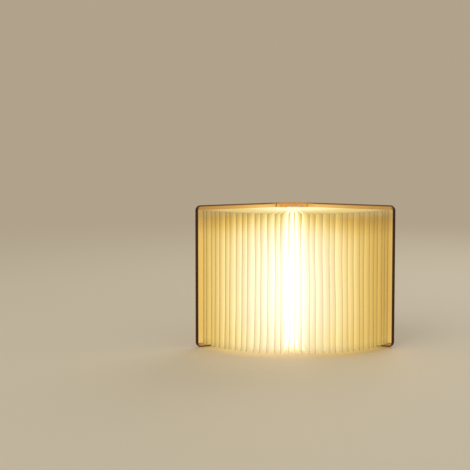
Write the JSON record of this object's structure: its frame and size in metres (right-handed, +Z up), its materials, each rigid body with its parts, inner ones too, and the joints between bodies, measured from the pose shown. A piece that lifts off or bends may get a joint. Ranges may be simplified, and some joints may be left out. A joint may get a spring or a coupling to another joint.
{
  "type": "folding book lamp",
  "caption": "Free-standing lamp shaped like an open book: wooden covers on a laser-cut living hinge, a fan of folded paper leaves and a light bar inside the spine.",
  "frame": {"origin": "middle of the spine's bottom edge, halfway through the wood, lamp standing open", "axes": "+Z up along the spine, +X to the right across the open covers, +Y out of the back of the spine; the fan of leaves opens towards -Y"},
  "size_m": [0.3008, 0.1519, 0.215],
  "materials": {
    "wood": "fine straight-grained light wood veneer on laser-cut board, edges darkened by the cut, matt oil",
    "endpaper": "uncoated fibre paper glued to the board",
    "leaf_paper": "white translucent fibre paper, matt, creased along each ridge",
    "magnet": "nickel-plated disc",
    "housing": "white moulded plastic",
    "diffuser": "opal moulded plastic, lit from inside",
    "cap": "white moulded plastic",
    "screw": "zinc-plated",
    "tape": "closed-cell foam tape",
    "circuit_board": "white solder mask",
    "led": "phosphor-filled LED packages",
    "battery": "foil pouch",
    "lead": "insulated wire",
    "connector": "black pin header",
    "reed_glass": "clear glass capsule",
    "indicator": "clear light pipe",
    "socket": "stamped steel shell"
  },
  "bodies": {
    "spine": {"living_hinge": "wood", "core_housing": "housing", "diffuser": "diffuser", "top_cap": "cap", "bottom_cap": "cap", "cap_screws": "screw", "mounting_tape": "tape", "led_board": "circuit_board", "leds": "led", "battery": "battery", "battery_leads": "lead", "charge_board": "circuit_board", "board_connector": "connector", "reed_switch": "reed_glass", "charge_indicator": "indicator", "usb_socket": "socket"},
    "back_cover": {"back_board": "wood", "back_endpaper": "endpaper", "back_magnets": "magnet", "switch_magnet": "magnet"},
    "front_cover": {"front_board": "wood", "front_endpaper": "endpaper", "front_magnets": "magnet"},
    "leaf_01": {"leaf_01": "leaf_paper"},
    "leaf_02": {"leaf_02": "leaf_paper"},
    "leaf_03": {"leaf_03": "leaf_paper"},
    "leaf_04": {"leaf_04": "leaf_paper"},
    "leaf_05": {"leaf_05": "leaf_paper"},
    "leaf_06": {"leaf_06": "leaf_paper"},
    "leaf_07": {"leaf_07": "leaf_paper"},
    "leaf_08": {"leaf_08": "leaf_paper"},
    "leaf_09": {"leaf_09": "leaf_paper"},
    "leaf_10": {"leaf_10": "leaf_paper"},
    "leaf_11": {"leaf_11": "leaf_paper"},
    "leaf_12": {"leaf_12": "leaf_paper"},
    "leaf_13": {"leaf_13": "leaf_paper"},
    "leaf_14": {"leaf_14": "leaf_paper"},
    "leaf_15": {"leaf_15": "leaf_paper"},
    "leaf_16": {"leaf_16": "leaf_paper"},
    "leaf_17": {"leaf_17": "leaf_paper"},
    "leaf_18": {"leaf_18": "leaf_paper"},
    "leaf_19": {"leaf_19": "leaf_paper"},
    "leaf_20": {"leaf_20": "leaf_paper"},
    "leaf_21": {"leaf_21": "leaf_paper"},
    "leaf_22": {"leaf_22": "leaf_paper"},
    "leaf_23": {"leaf_23": "leaf_paper"},
    "leaf_24": {"leaf_24": "leaf_paper"},
    "leaf_25": {"leaf_25": "leaf_paper"},
    "leaf_26": {"leaf_26": "leaf_paper"},
    "leaf_27": {"leaf_27": "leaf_paper"},
    "leaf_28": {"leaf_28": "leaf_paper"},
    "leaf_29": {"leaf_29": "leaf_paper"},
    "leaf_30": {"leaf_30": "leaf_paper"},
    "leaf_31": {"leaf_31": "leaf_paper"},
    "leaf_32": {"leaf_32": "leaf_paper"},
    "leaf_33": {"leaf_33": "leaf_paper"},
    "leaf_34": {"leaf_34": "leaf_paper"}
  },
  "joints": [
    {"name": "cover_fold", "type": "hinge", "parent": "spine", "child": "back_cover", "pos_m": [0.01216, -0.00434, 0], "axis": [0, 0, 1], "range_deg": [-63, 119], "deforming": ["living_hinge"]},
    {"name": "front_cover_fold", "type": "hinge", "parent": "spine", "child": "front_cover", "pos_m": [-0.01216, -0.00434, 0], "axis": [0, 0, -1], "range_deg": [-63, 119], "deforming": ["living_hinge"]},
    {"name": "leaf_01_fold", "type": "hinge", "parent": "spine", "child": "leaf_01", "pos_m": [-0.01147, -0.00434, 0], "axis": [0, 0, -1], "range_deg": [-59.15, 111.72]},
    {"name": "leaf_02_fold", "type": "hinge", "parent": "spine", "child": "leaf_02", "pos_m": [-0.01077, -0.00434, 0], "axis": [0, 0, -1], "range_deg": [-56.18, 106.12]},
    {"name": "leaf_03_fold", "type": "hinge", "parent": "spine", "child": "leaf_03", "pos_m": [-0.01008, -0.00434, 0], "axis": [0, 0, -1], "range_deg": [-51.9, 98.04]},
    {"name": "leaf_04_fold", "type": "hinge", "parent": "spine", "child": "leaf_04", "pos_m": [-0.00938, -0.00434, 0], "axis": [0, 0, -1], "range_deg": [-48.67, 91.93]},
    {"name": "leaf_05_fold", "type": "hinge", "parent": "spine", "child": "leaf_05", "pos_m": [-0.00869, -0.00434, 0], "axis": [0, 0, -1], "range_deg": [-45.21, 85.39]},
    {"name": "leaf_06_fold", "type": "hinge", "parent": "spine", "child": "leaf_06", "pos_m": [-0.00799, -0.00434, 0], "axis": [0, 0, -1], "range_deg": [-41.04, 77.52]},
    {"name": "leaf_07_fold", "type": "hinge", "parent": "spine", "child": "leaf_07", "pos_m": [-0.0073, -0.00434, 0], "axis": [0, 0, -1], "range_deg": [-38.14, 72.04]},
    {"name": "leaf_08_fold", "type": "hinge", "parent": "spine", "child": "leaf_08", "pos_m": [-0.0066, -0.00434, 0], "axis": [0, 0, -1], "range_deg": [-34.08, 64.36]},
    {"name": "leaf_09_fold", "type": "hinge", "parent": "spine", "child": "leaf_09", "pos_m": [-0.00591, -0.00434, 0], "axis": [0, 0, -1], "range_deg": [-30.46, 57.53]},
    {"name": "leaf_10_fold", "type": "hinge", "parent": "spine", "child": "leaf_10", "pos_m": [-0.00521, -0.00434, 0], "axis": [0, 0, -1], "range_deg": [-27.35, 51.65]},
    {"name": "leaf_11_fold", "type": "hinge", "parent": "spine", "child": "leaf_11", "pos_m": [-0.00452, -0.00434, 0], "axis": [0, 0, -1], "range_deg": [-23.04, 43.52]},
    {"name": "leaf_12_fold", "type": "hinge", "parent": "spine", "child": "leaf_12", "pos_m": [-0.00382, -0.00434, 0], "axis": [0, 0, -1], "range_deg": [-19.99, 37.76]},
    {"name": "leaf_13_fold", "type": "hinge", "parent": "spine", "child": "leaf_13", "pos_m": [-0.00313, -0.00434, 0], "axis": [0, 0, -1], "range_deg": [-16.29, 30.76]},
    {"name": "leaf_14_fold", "type": "hinge", "parent": "spine", "child": "leaf_14", "pos_m": [-0.00243, -0.00434, 0], "axis": [0, 0, -1], "range_deg": [-12.3, 23.22]},
    {"name": "leaf_15_fold", "type": "hinge", "parent": "spine", "child": "leaf_15", "pos_m": [-0.00174, -0.00434, 0], "axis": [0, 0, -1], "range_deg": [-9.38, 17.71]},
    {"name": "leaf_16_fold", "type": "hinge", "parent": "spine", "child": "leaf_16", "pos_m": [-0.00104, -0.00434, 0], "axis": [0, 0, -1], "range_deg": [-5.16, 9.74]},
    {"name": "leaf_17_fold", "type": "hinge", "parent": "spine", "child": "leaf_17", "pos_m": [-0.00035, -0.00434, 0], "axis": [0, 0, -1], "range_deg": [-1.79, 3.38]},
    {"name": "leaf_18_fold", "type": "hinge", "parent": "spine", "child": "leaf_18", "pos_m": [0.00035, -0.00434, 0], "axis": [0, 0, 1], "range_deg": [-1.54, 2.9]},
    {"name": "leaf_19_fold", "type": "hinge", "parent": "spine", "child": "leaf_19", "pos_m": [0.00104, -0.00434, 0], "axis": [0, 0, 1], "range_deg": [-5.78, 10.92]},
    {"name": "leaf_20_fold", "type": "hinge", "parent": "spine", "child": "leaf_20", "pos_m": [0.00174, -0.00434, 0], "axis": [0, 0, 1], "range_deg": [-8.71, 16.46]},
    {"name": "leaf_21_fold", "type": "hinge", "parent": "spine", "child": "leaf_21", "pos_m": [0.00243, -0.00434, 0], "axis": [0, 0, 1], "range_deg": [-12.66, 23.9]},
    {"name": "leaf_22_fold", "type": "hinge", "parent": "spine", "child": "leaf_22", "pos_m": [0.00313, -0.00434, 0], "axis": [0, 0, 1], "range_deg": [-16.42, 31.01]},
    {"name": "leaf_23_fold", "type": "hinge", "parent": "spine", "child": "leaf_23", "pos_m": [0.00382, -0.00434, 0], "axis": [0, 0, 1], "range_deg": [-19.44, 36.71]},
    {"name": "leaf_24_fold", "type": "hinge", "parent": "spine", "child": "leaf_24", "pos_m": [0.00452, -0.00434, 0], "axis": [0, 0, 1], "range_deg": [-23.73, 44.82]},
    {"name": "leaf_25_fold", "type": "hinge", "parent": "spine", "child": "leaf_25", "pos_m": [0.00521, -0.00434, 0], "axis": [0, 0, 1], "range_deg": [-26.89, 50.79]},
    {"name": "leaf_26_fold", "type": "hinge", "parent": "spine", "child": "leaf_26", "pos_m": [0.00591, -0.00434, 0], "axis": [0, 0, 1], "range_deg": [-30.45, 57.51]},
    {"name": "leaf_27_fold", "type": "hinge", "parent": "spine", "child": "leaf_27", "pos_m": [0.0066, -0.00434, 0], "axis": [0, 0, 1], "range_deg": [-34.55, 65.26]},
    {"name": "leaf_28_fold", "type": "hinge", "parent": "spine", "child": "leaf_28", "pos_m": [0.0073, -0.00434, 0], "axis": [0, 0, 1], "range_deg": [-37.45, 70.73]},
    {"name": "leaf_29_fold", "type": "hinge", "parent": "spine", "child": "leaf_29", "pos_m": [0.00799, -0.00434, 0], "axis": [0, 0, 1], "range_deg": [-41.58, 78.54]},
    {"name": "leaf_30_fold", "type": "hinge", "parent": "spine", "child": "leaf_30", "pos_m": [0.00869, -0.00434, 0], "axis": [0, 0, 1], "range_deg": [-45.1, 85.19]},
    {"name": "leaf_31_fold", "type": "hinge", "parent": "spine", "child": "leaf_31", "pos_m": [0.00938, -0.00434, 0], "axis": [0, 0, 1], "range_deg": [-48.29, 91.2]},
    {"name": "leaf_32_fold", "type": "hinge", "parent": "spine", "child": "leaf_32", "pos_m": [0.01008, -0.00434, 0], "axis": [0, 0, 1], "range_deg": [-52.58, 99.31]},
    {"name": "leaf_33_fold", "type": "hinge", "parent": "spine", "child": "leaf_33", "pos_m": [0.01077, -0.00434, 0], "axis": [0, 0, 1], "range_deg": [-55.57, 104.97]},
    {"name": "leaf_34_fold", "type": "hinge", "parent": "spine", "child": "leaf_34", "pos_m": [0.01147, -0.00434, 0], "axis": [0, 0, 1], "range_deg": [-59.37, 112.15]}
  ],
  "couplings": [
    {"joint": "front_cover_fold", "follows": "cover_fold", "ratio": 1},
    {"joint": "leaf_01_fold", "follows": "cover_fold", "ratio": 0.9388},
    {"joint": "leaf_02_fold", "follows": "cover_fold", "ratio": 0.89169},
    {"joint": "leaf_03_fold", "follows": "cover_fold", "ratio": 0.82381},
    {"joint": "leaf_04_fold", "follows": "cover_fold", "ratio": 0.77248},
    {"joint": "leaf_05_fold", "follows": "cover_fold", "ratio": 0.7175},
    {"joint": "leaf_06_fold", "follows": "cover_fold", "ratio": 0.65135},
    {"joint": "leaf_07_fold", "follows": "cover_fold", "ratio": 0.60533},
    {"joint": "leaf_08_fold", "follows": "cover_fold", "ratio": 0.5408},
    {"joint": "leaf_09_fold", "follows": "cover_fold", "ratio": 0.48343},
    {"joint": "leaf_10_fold", "follows": "cover_fold", "ratio": 0.434},
    {"joint": "leaf_11_fold", "follows": "cover_fold", "ratio": 0.3657},
    {"joint": "leaf_12_fold", "follows": "cover_fold", "ratio": 0.3173},
    {"joint": "leaf_13_fold", "follows": "cover_fold", "ratio": 0.25843},
    {"joint": "leaf_14_fold", "follows": "cover_fold", "ratio": 0.19509},
    {"joint": "leaf_15_fold", "follows": "cover_fold", "ratio": 0.14881},
    {"joint": "leaf_16_fold", "follows": "cover_fold", "ratio": 0.081845},
    {"joint": "leaf_17_fold", "follows": "cover_fold", "ratio": 0.028327},
    {"joint": "leaf_18_fold", "follows": "cover_fold", "ratio": 0.024342},
    {"joint": "leaf_19_fold", "follows": "cover_fold", "ratio": 0.091708},
    {"joint": "leaf_20_fold", "follows": "cover_fold", "ratio": 0.13825},
    {"joint": "leaf_21_fold", "follows": "cover_fold", "ratio": 0.20081},
    {"joint": "leaf_22_fold", "follows": "cover_fold", "ratio": 0.26057},
    {"joint": "leaf_23_fold", "follows": "cover_fold", "ratio": 0.30843},
    {"joint": "leaf_24_fold", "follows": "cover_fold", "ratio": 0.37664},
    {"joint": "leaf_25_fold", "follows": "cover_fold", "ratio": 0.42674},
    {"joint": "leaf_26_fold", "follows": "cover_fold", "ratio": 0.4832},
    {"joint": "leaf_27_fold", "follows": "cover_fold", "ratio": 0.54839},
    {"joint": "leaf_28_fold", "follows": "cover_fold", "ratio": 0.59435},
    {"joint": "leaf_29_fold", "follows": "cover_fold", "ratio": 0.65994},
    {"joint": "leaf_30_fold", "follows": "cover_fold", "ratio": 0.71581},
    {"joint": "leaf_31_fold", "follows": "cover_fold", "ratio": 0.76639},
    {"joint": "leaf_32_fold", "follows": "cover_fold", "ratio": 0.83449},
    {"joint": "leaf_33_fold", "follows": "cover_fold", "ratio": 0.88204},
    {"joint": "leaf_34_fold", "follows": "cover_fold", "ratio": 0.94237}
  ]
}
